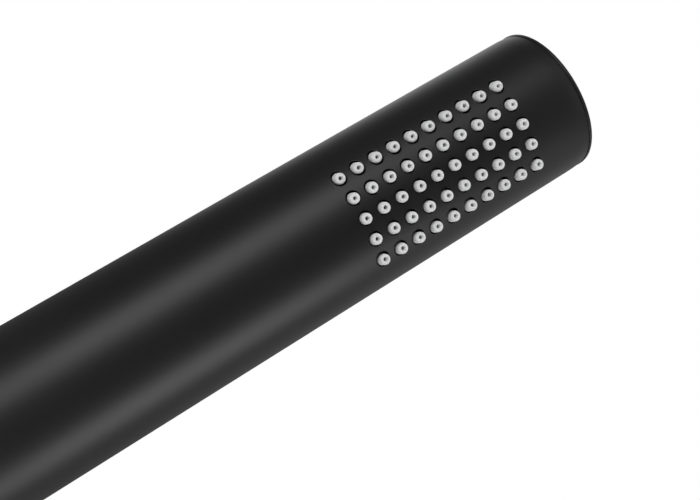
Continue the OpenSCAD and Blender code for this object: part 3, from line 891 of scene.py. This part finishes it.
class SHOWER_OT_nozzles(bpy.types.Operator):
    """Build the soft nozzle mat"""

    bl_idname = "shower.nozzles"
    bl_label = "Nozzle mat"
    bl_options = {"REGISTER", "UNDO"}

    # Which way the middle row sits off its holes, in shares of the slip, and how that changes to the last row
    slip_middle = Vector((0.6, 0, -0.35))
    slip_change = Vector((0.5, 0, 0.25))
    # How much deeper the outer rows' heads reach, and how much nozzles differ from each other
    side_sunk = 0.5
    uneven_tip = 0.03 * MM
    uneven_head = 0.02 * MM
    uneven_outlet = (0.94, 1.08)

    def execute(self, context):
        nozzles = context.scene.shower_nozzles
        skin = Skin()
        self.sheet(skin, nozzles)
        draw = random.Random(7)
        for row, z in nozzle_places():
            # Painted shade: the mat's faces round each nozzle take the near-black copy of the silicone
            # (finish 1)
            cell_patch(skin, nozzles.outer, row, z, nozzles.neck + nozzles.foot, nozzles.reach, finish=1)
            cell_patch(skin, nozzles.inner, row, z, nozzles.feed, nozzles.back_reach, finish=1)
            self.stub(skin, nozzles, row, z, draw)
        colours = context.scene.shower_colours
        light = soft_silicone("nozzle_silicone", colours.silicone)
        # Painted shade: a near-black copy of the silicone for the mat's sheet and the nozzles' necks, so the
        # bottoms of the holes look shaded
        dark = soft_silicone("mat_silicone", colours.mat)
        skin.piece("nozzle_mat_soft", [light, dark], "shell", "nozzle_silicone", "nozzle_mat")
        return {"FINISHED"}

    def sheet(self, skin, nozzles):
        """The mat's two faces and its edges, with the nozzle cells left open."""
        heights, side_parts = field_heights(), 2
        walls = []
        for wall, reach in ((nozzles.outer, nozzles.reach), (nozzles.inner, nozzles.back_reach)):
            field = field_angles(wall, reach)
            left = spaced(FACING - nozzles.edge_angle, field[0], side_parts)
            right = spaced(field[-1], FACING + nozzles.edge_angle, side_parts)
            walls.append((wall, left, right, left[:-1] + field + right[1:]))
        tall = [MAT_LOW.z, *heights, MAT_HIGH.z]
        # Painted shade: the sheet's faces, edges and ends all take the near-black copy of the silicone
        # (finish 1)
        for wall, left, right, every in walls:
            for angles, levels in ((left, heights), (right, heights), (every, tall[:2]), (every, tall[-2:])):
                skin.grid([[spot(wall, a, z) for a in angles] for z in levels], finish=1)
        for z in (MAT_LOW.z, MAT_HIGH.z):
            skin.grid([[spot(wall, a, z) for a in every] for wall, _, _, every in walls], finish=1)
        for end in (0, -1):
            skin.grid([[spot(wall, every[end], z) for z in tall] for wall, _, _, every in walls], finish=1)

    def stub(self, skin, nozzles, row, z, draw):
        """One nozzle, from the mat's face to its rounded tip and down its outlet."""
        x = row_x(row)
        side = x / row_x(nozzles.rows - 1)
        face, root = -on_wall(x, z, TUBE_HIGH.x)[1], -on_wall(x, z, nozzles.outer)[1]
        low = face - nozzles.sunk * (1 + self.side_sunk * side**2)
        tip = face + nozzles.rise + nozzles.side_rise * side**2 - self.uneven_tip * draw.random()
        head = nozzles.head - self.uneven_head * draw.random()
        lean = Vector((draw.uniform(-1, 1), 0, draw.uniform(-1, 1))) * nozzles.lean
        outlet = nozzles.outlet * draw.uniform(*self.uneven_outlet)
        neck, base, edge, rounding, taper = nozzles.neck, nozzles.base, nozzles.tip_round, 0.24 * MM, 0.2 * MM
        base_parts, tip_parts = 6, 7
        # How much wider the foot is at each height, and the outlet at each depth in millimetres
        foot = ((nozzles.foot, 0), (0.05 * MM, 0.04 * MM), (0, 0.18 * MM))
        funnel = ((0.08, 0.006), (0.025, 0.02), (0, 0.06), (-0.05, 0.4), (-0.12, 0.7))
        stops = [(neck + wider, up, nozzles.outer) for wider, up in foot]
        stops.append((neck, low - rounding / 3))
        for a in quarter(base_parts):
            stops.append((mix(neck, base, math.sin(a)), low + rounding * (1 - math.cos(a))))
        for a in quarter(tip_parts):
            stops.append((head - edge * (1 - math.cos(a)), tip - edge * (1 - math.sin(a))))
        stops += [(outlet + wider * MM, tip - down * MM) for wider, down in funnel]
        stops += [(nozzles.feed - taper, root), (nozzles.feed, 0, nozzles.inner)]
        off = (self.slip_middle + self.slip_change * side) * nozzles.slip
        rings = []
        for across, height, *wall in stops:
            sunk = 0 if wall else min(1, max(0, height - root) / (low - root))
            out = 0 if wall else max(0, height - face) / (tip - face)
            ring = hole_ring(row, z, across, height, *wall)
            rings.append([tuple(Vector(point) + off * sunk + lean * out**2) for point in ring])
        head_start = len(foot) + 1
        # Painted shade: the foot, the neck and the head's lowest ring, down in the hole, take the near-black
        # copy
        skin.grid(rings[:head_start + 1], closed=True, finish=1)
        skin.grid(rings[head_start:], closed=True)


class SHOWER_OT_cap(bpy.types.Operator):
    """Build the screwed end cap"""

    bl_idname = "shower.cap"
    bl_label = "End cap"
    bl_options = {"REGISTER", "UNDO"}

    def execute(self, context):
        cap = context.scene.shower_cap
        skin = Skin()
        top, low, lip = CAP_HIGH.z, CAP_LOW.z, CAP_HIGH.x
        land, neck, slopes = 1.6 * MM, 0.1 * MM, (1.2, 2)
        face, root, thread_top = cap.key + land, cap.thread - cap.thread_depth, cap.shoulder_z - neck
        self.socket(skin, cap, top, face)
        turned(skin, softened([
            (face, top), (lip, top, cap.lip_round), (lip, cap.lip_z), (cap.plug, cap.lip_z, 0),
            *seal_groove(cap.plug, cap.groove_floor, cap.groove_z, -cap.groove_width),
            (cap.plug, cap.shoulder_z), (root, cap.shoulder_z, 0), (root, thread_top),
        ]))
        flanks = ((0, 0), (0.1, 0), (0.14, 0.2), (0.4, 0.9), (0.46, 1), (0.64, 1), (0.7, 0.9), (0.96, 0.2))
        shape = [(share, mix(root, cap.thread, out)) for share, out in flanks]
        threaded(skin, low, thread_top, cap.thread_pitch, low, shape, slopes)
        turned(skin, softened([
            (root, low), (cap.hollow, low), (cap.hollow, cap.hollow_z, cap.hollow_round), (0, cap.hollow_z),
        ]))
        coat = satin_coat("cap_satin_black", context.scene.shower_colours.coat)
        skin.piece("end_cap_coated", [coat], "cap", "cap_black", "end_cap")
        return {"FINISHED"}

    def socket(self, skin, cap, top, face):
        """The hexagonal key socket, with a rounded edge that runs out on the top face."""

        def flats(half):
            """Radius of a hexagon of a half size across its flats."""
            return lambda angle: half / math.cos((angle - FACING) % (math.pi / 3) - math.pi / 6)

        # How much wider the socket is at each depth below the top face, in millimetres
        rim = ((0, 0.2), (0.06, 0.07), (0.2, 0))
        turned(skin, [
            (0, cap.key_z), (flats(cap.key - BREAK), cap.key_z), (flats(cap.key), cap.key_z + BREAK),
            *((flats(cap.key + wider * MM), top - down * MM) for wider, down in rim), (face, top),
        ])


class SHOWER_OT_inlet(bpy.types.Operator):
    """Build the inlet fitting with its pipe thread"""

    bl_idname = "shower.inlet"
    bl_label = "Inlet fitting"
    bl_options = {"REGISTER", "UNDO"}

    def execute(self, context):
        inlet, tube = context.scene.shower_inlet, context.scene.shower_tube
        skin = Skin()
        self.thread(skin, inlet)
        low, outside = INLET_LOW.z, INLET_HIGH.x
        collar_top, shoulder, ease = inlet.collar_top, tube.lower_shoulder, tube.ease_depth
        fillet, rim, mouth_round = 0.2 * MM, 0.1 * MM, 0.15 * MM
        turned(skin, softened([
            (inlet.root, inlet.runout_z), (inlet.root, inlet.collar_z, fillet),
            (outside, inlet.collar_z, inlet.collar_round), (outside, collar_top - 2 * ease, 0),
            (outside - 0.3 * ease, collar_top - ease, 0), (outside - ease, collar_top, rim),
            (inlet.spigot, collar_top, 0),
            *seal_groove(inlet.spigot, inlet.seal_floor, inlet.seal_z, inlet.groove_width),
            *self.spigot_grooves(inlet), (inlet.spigot, shoulder), (inlet.sleeve, shoulder),
            (inlet.sleeve, inlet.sleeve_z, inlet.end_round), (inlet.socket, inlet.sleeve_z, inlet.end_round),
            (inlet.socket, inlet.socket_z), (inlet.throat, inlet.socket_z), (inlet.throat, inlet.throat_z),
            (inlet.cartridge, inlet.throat_z), (inlet.cartridge, inlet.cartridge_z),
            (inlet.mouth, inlet.cartridge_z), (inlet.mouth, low, mouth_round), (inlet.root, low),
        ]))
        coat = satin_coat("inlet_satin_black", context.scene.shower_colours.coat)
        skin.piece("inlet_fitting_coated", [coat], "shell", "inlet_black", "inlet_fitting")
        return {"FINISHED"}

    def thread(self, skin, inlet):
        """The pipe thread, with a chamfered start and an end that runs out below the collar."""
        crest, root, plain = inlet.crest, inlet.root, 0.25 * MM
        slopes = (crest - root) / inlet.lead, 1.6
        shoulder, middle, fillet = crest - 0.06 * MM, (root + crest) / 2, root + 0.07 * MM
        shape = [(0, shoulder), (0.05, crest), (0.19, crest), (0.24, shoulder), (0.39, middle),
                 (0.54, fillet), (0.58, root), (0.66, root), (0.7, fillet), (0.85, middle)]
        threaded(
            skin, INLET_LOW.z, inlet.runout_z, inlet.thread_pitch, inlet.lead, shape, slopes, plain
        )

    def spigot_grooves(self, inlet):
        """The fine thread that holds the spigot in the tube, as rings."""
        pitch, turns, plain, depth = 1 * MM, 13, 1.3 * MM, 0.45 * MM
        start, floor = inlet.seal_z + plain, inlet.spigot - depth
        ring = ((inlet.spigot, 0.1), (floor, 0.4), (floor, 0.6), (inlet.spigot, 0.9))
        return [(radius, start + (lap + share) * pitch, 0) for lap in range(turns) for radius, share in ring]


class SHOWER_OT_strainer(bpy.types.Operator):
    """Weave the strainer's mesh"""

    bl_idname = "shower.strainer"
    bl_label = "Strainer mesh"
    bl_options = {"REGISTER", "UNDO"}

    def execute(self, context):
        inlet = context.scene.shower_inlet
        skin = Skin()
        pitch, radius = inlet.wire_pitch, inlet.wire
        middle = (MESH_LOW.z + MESH_HIGH.z) / 2
        rise = (MESH_HIGH.z - MESH_LOW.z) / 2 - radius
        disc = MESH_HIGH.x - radius
        crossing_parts, inset, sides = 6, 0.1 * MM, 8
        count = int(disc / pitch)
        for k in range(-count, count + 1):
            reach = math.sqrt(disc**2 - (k * pitch) ** 2) - inset
            places = spaced(-reach, reach, round(2 * reach / pitch * crossing_parts))
            for way in (-1, 1):
                path = []
                for s in places:
                    z = middle + way * rise * math.cos(math.pi * (s / pitch + k))
                    path.append((s, k * pitch, z) if way < 0 else (k * pitch, s, z))
                sweep(skin, path, radius, sides)
        steel = drawn_steel("strainer_steel", context.scene.shower_colours.steel)
        skin.piece("strainer_weave", [steel], "shell", "mesh_steel", "filter_mesh")
        return {"FINISHED"}


class SHOWER_OT_spring(bpy.types.Operator):
    """Wind the check valve's spring"""

    bl_idname = "shower.spring"
    bl_label = "Check valve spring"
    bl_options = {"REGISTER", "UNDO"}

    def execute(self, context):
        spring = context.scene.shower_spring
        skin = Skin()
        turn_parts, sides = 48, 14
        path = []
        for laps in spaced(0, spring.turns, round(spring.turns * turn_parts)):
            rise = min(max((laps - spring.flat) / (spring.turns - 2 * spring.flat), 0), 1)
            path.append(spot(spring.coil, 2 * math.pi * laps, mix(spring.low, spring.high, rise)))
        sweep(skin, path, spring.wire, sides)
        steel = drawn_steel("spring_steel", context.scene.shower_colours.steel)
        coil = skin.piece("valve_spring_wire", [steel], "shell", "spring_steel", "valve_spring")
        seat = LIFT["deforming_nodes"][0]["fixed_end_z_m"]
        keep = 1 - LIFT["range_m"][1] / (seat - SPRING_LOW.z)
        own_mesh(coil)
        return {"FINISHED"}


class SHOWER_OT_inner(bpy.types.Operator):
    """Give the inner pieces their finishes"""

    bl_idname = "shower.inner"
    bl_label = "Inner pieces"
    bl_options = {"REGISTER", "UNDO"}

    def execute(self, context):
        colours = context.scene.shower_colours
        rubber = seal_rubber("seal_rubber", colours.rubber)
        valve = moulded("valve_plastic", colours.cream, 0.3)
        finishes = {
            "spray_carrier": moulded("carrier_plastic", colours.carrier, 0.42),
            "carrier_adapter": moulded("adapter_plastic", darker(colours.carrier, 0.85), 0.42),
            "water_tube": moulded("water_tube_plastic", colours.water, 0.3, 0.4),
            "filter_frame": moulded("filter_plastic", colours.cream, 0.4),
            "regulator_body": moulded("regulator_plastic", colours.green, 0.36),
            "regulator_cap": valve,
            "valve_housing": valve,
            "valve_retainer": valve,
            "valve_poppet": moulded("poppet_plastic", colours.blue, 0.34),
        }
        for name, node in frame["nodes"].items():
            if node.hide_render:
                continue
            node.data.materials.clear()
            # Every piece that isn't named above is a seal
            node.data.materials.append(finishes.get(name, rubber))
        return {"FINISHED"}


class SHOWER_OT_studio(bpy.types.Operator):
    """Set up the pale floor, the lamps and the white surroundings"""

    bl_idname = "shower.studio"
    bl_label = "Studio"
    bl_options = {"REGISTER", "UNDO"}

    def execute(self, context):
        studio = context.scene.shower_studio
        self.floor(context, studio)
        self.surroundings(context, studio)
        for name, place in LAMPS.items():
            self.lamp(name, getattr(studio, name), *place)
        context.scene.view_settings.view_transform = "Standard"
        return {"FINISHED"}

    def lamp(self, name, radiance, azimuth, distance, z, aim, width, length):
        """A soft lamp at an azimuth round the object, turned to a height on its axis."""
        light = bpy.data.lights.new(name, "AREA")
        light.shape = "RECTANGLE"
        light.size = width
        light.size_y = length
        light.energy = radiance * math.pi * width * length
        place = Vector(spot(distance, FACING + math.radians(azimuth), z))
        placed(name, light, place, (Vector((0, 0, aim)) - place).to_track_quat("-Z", "Y"))

    def floor(self, context, studio):
        """A pale disc that fades into the white surroundings, unseen from below and open under the inlet."""
        work = bmesh.new()
        opening = context.scene.shower_inlet.mouth + studio.floor_opening
        for radius in (opening, studio.floor_radius):
            bmesh.ops.create_circle(work, segments=128, radius=radius)
        bmesh.ops.bridge_loops(work, edges=work.edges)
        bmesh.ops.recalc_face_normals(work, faces=work.faces)
        for face in work.faces:
            if face.normal.z < 0:
                face.normal_flip()
        mesh = bpy.data.meshes.new("studio_floor")
        work.to_mesh(mesh)
        work.free()
        disc = placed("studio_floor", mesh, (0, 0, -studio.floor_drop))
        mesh.materials.append(fading_paper("studio_floor", context.scene.shower_colours.floor, studio))

    def surroundings(self, context, studio):
        """White where it is looked at; a dim room with brighter sides where it lights the object."""
        world = bpy.data.worlds.new("studio_room")
        context.scene.world = world
        work = Finish(world)
        direction = work.add("ShaderNodeTexCoord", output="Generated")

        def glow(azimuth, rise, low, high):
            """A soft bright side of the room, 1 in the middle."""
            up = math.radians(rise)
            middle = spot(math.cos(up), FACING + math.radians(azimuth), math.sin(up))
            both = {0: direction, 1: middle}
            towards = work.add("ShaderNodeVectorMath", {"operation": "DOT_PRODUCT"}, both, output="Value")
            return work.step(towards, low, high)

        camera = work.add("ShaderNodeLightPath", output="Is Camera Ray")
        through = work.add("ShaderNodeLightPath", output="Is Transmission Ray")
        lit = studio.room
        for name, place in GLOWS.items():
            lit = lit + getattr(studio, name) * glow(*place)
        white = work.add("ShaderNodeMath", {"operation": "MAXIMUM"}, {0: camera, 1: through})
        strength = lit * (1 - white) + white
        shader = work.add("ShaderNodeBackground", None, {"Color": (1, 1, 1), "Strength": strength})
        work.add("ShaderNodeOutputWorld", None, {"Surface": shader})


class SHOWER_PT_panel(bpy.types.Panel):
    """Sizes, colours and build steps of the hand shower"""

    bl_idname = "SHOWER_PT_panel"
    bl_label = "Hand Shower"
    bl_space_type = "VIEW_3D"
    bl_region_type = "UI"
    bl_category = "Hand Shower"

    def draw(self, context):
        for name, (_, label) in GROUPS.items():
            box = self.layout.box()
            box.label(text=label)
            group = getattr(context.scene, name)
            for key in group.__annotations__:
                box.prop(group, key)
        for operator in OPERATORS:
            self.layout.operator(operator.bl_idname)


GROUPS = {
    "shower_tube": (ShowerTubeSizes, "Handle tube"),
    "shower_nozzles": (ShowerNozzleSizes, "Nozzles"),
    "shower_cap": (ShowerCapSizes, "End cap"),
    "shower_inlet": (ShowerInletSizes, "Inlet"),
    "shower_spring": (ShowerSpringSizes, "Spring"),
    "shower_colours": (ShowerColours, "Colours"),
    "shower_studio": (ShowerStudio, "Studio"),
}

OPERATORS = (
    SHOWER_OT_camera, SHOWER_OT_tube, SHOWER_OT_nozzles, SHOWER_OT_cap, SHOWER_OT_inlet,
    SHOWER_OT_strainer, SHOWER_OT_spring, SHOWER_OT_inner, SHOWER_OT_studio,
)


def register():
    """Registers the classes and puts the sizes on the scene."""
    for name, (group, _) in GROUPS.items():
        bpy.utils.register_class(group)
        setattr(bpy.types.Scene, name, PointerProperty(type=group))
    for operator in OPERATORS:
        bpy.utils.register_class(operator)
    bpy.utils.register_class(SHOWER_PT_panel)


def unregister():
    """Takes the classes and the sizes away again."""
    bpy.utils.unregister_class(SHOWER_PT_panel)
    for operator in reversed(OPERATORS):
        bpy.utils.unregister_class(operator)
    for name, (group, _) in GROUPS.items():
        delattr(bpy.types.Scene, name)
        bpy.utils.unregister_class(group)


def main():
    register()
    for operator in OPERATORS:
        group, name = operator.bl_idname.split(".")
        getattr(getattr(bpy.ops, group), name)()


if __name__ == "__main__":
    main()
